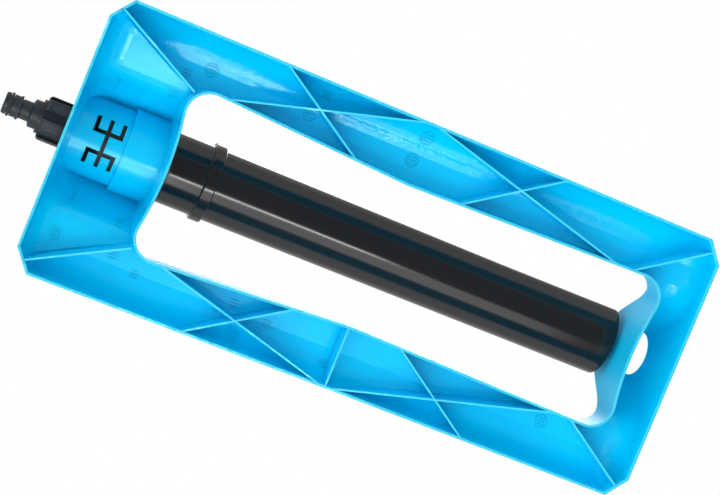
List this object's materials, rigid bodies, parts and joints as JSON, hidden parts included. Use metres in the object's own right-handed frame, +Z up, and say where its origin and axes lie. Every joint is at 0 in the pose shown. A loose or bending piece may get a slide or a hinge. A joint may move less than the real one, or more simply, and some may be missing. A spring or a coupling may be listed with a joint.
{
  "type": "oscillating lawn sprinkler",
  "caption": "Oscillating lawn sprinkler: hollow ribbed frame with a hood at each end, a spray tube rocked by a geared water motor, and a quick-connect hose inlet.",
  "frame": {"origin": "on the plane of the rim, below the middle of the overall length and width", "axes": "+X along the tube from the hose inlet to the far end, +Z up"},
  "size_m": [0.5106, 0.2, 0.091],
  "materials": {
    "blue_plastic": "bright blue, moulded gloss",
    "black_plastic": "black, polished",
    "grey_plastic": "charcoal, satin",
    "natural_plastic": "natural white acetal",
    "rubber": "black sealing rubber",
    "soft_nozzle": "soft dark rubber",
    "pin_steel": "drawn stainless"
  },
  "bodies": {
    "base": {"base_frame": "blue_plastic", "motor_housing": "black_plastic", "inlet_cap": "black_plastic", "cap_o_ring": "rubber", "inlet_washer": "rubber", "inlet_filter": "natural_plastic", "hose_adaptor": "grey_plastic", "adaptor_o_ring": "rubber", "jet_plate": "natural_plastic", "rear_gear_plate": "natural_plastic", "front_gear_plate": "natural_plastic", "lay_shaft": "pin_steel", "turbine_pin": "pin_steel", "shaft_bush": "natural_plastic", "shaft_seal": "rubber", "pivot_bush": "natural_plastic"},
    "tube": {"spray_tube": "black_plastic", "spray_nozzles": "soft_nozzle", "end_cap": "black_plastic", "end_cap_o_ring": "rubber", "retaining_collar": "black_plastic", "drive_hub": "natural_plastic", "hub_o_ring": "rubber", "output_gear": "natural_plastic"},
    "turbine": {"turbine": "natural_plastic"},
    "gear_1": {"compound_gear_1": "natural_plastic"},
    "gear_2": {"compound_gear_2": "natural_plastic"},
    "gear_3": {"compound_gear_3": "natural_plastic"},
    "flap": {"reversing_flap": "natural_plastic"}
  },
  "joints": [
    {"name": "tube_swing", "type": "hinge", "parent": "base", "child": "tube", "pos_m": [0, 0, 0.06], "axis": [1, 0, 0], "range_deg": [-50, 50]},
    {"name": "gear_3_spin", "type": "hinge", "parent": "base", "child": "gear_3", "pos_m": [-0.1406, 0, 0.0474], "axis": [1, 0, 0], "range_deg": [-125, 125]},
    {"name": "gear_2_spin", "type": "hinge", "parent": "base", "child": "gear_2", "pos_m": [-0.1471, 0, 0.06], "axis": [1, 0, 0], "range_deg": [-312.5, 312.5]},
    {"name": "gear_1_spin", "type": "hinge", "parent": "base", "child": "gear_1", "pos_m": [-0.1536, 0, 0.0474], "axis": [1, 0, 0], "range_deg": [-781.25, 781.25]},
    {"name": "turbine_spin", "type": "hinge", "parent": "base", "child": "turbine", "pos_m": [-0.162, 0, 0.06], "axis": [1, 0, 0], "range_deg": [-1953.12, 1953.12]},
    {"name": "flap_flip", "type": "hinge", "parent": "base", "child": "flap", "pos_m": [-0.1765, 0, 0.073], "axis": [1, 0, 0], "range_deg": [-25.9, 0]}
  ],
  "couplings": [
    {"joint": "gear_3_spin", "follows": "tube_swing", "ratio": -2.5},
    {"joint": "gear_2_spin", "follows": "tube_swing", "ratio": 6.25},
    {"joint": "gear_1_spin", "follows": "tube_swing", "ratio": -15.625},
    {"joint": "turbine_spin", "follows": "tube_swing", "ratio": 39.062}
  ]
}
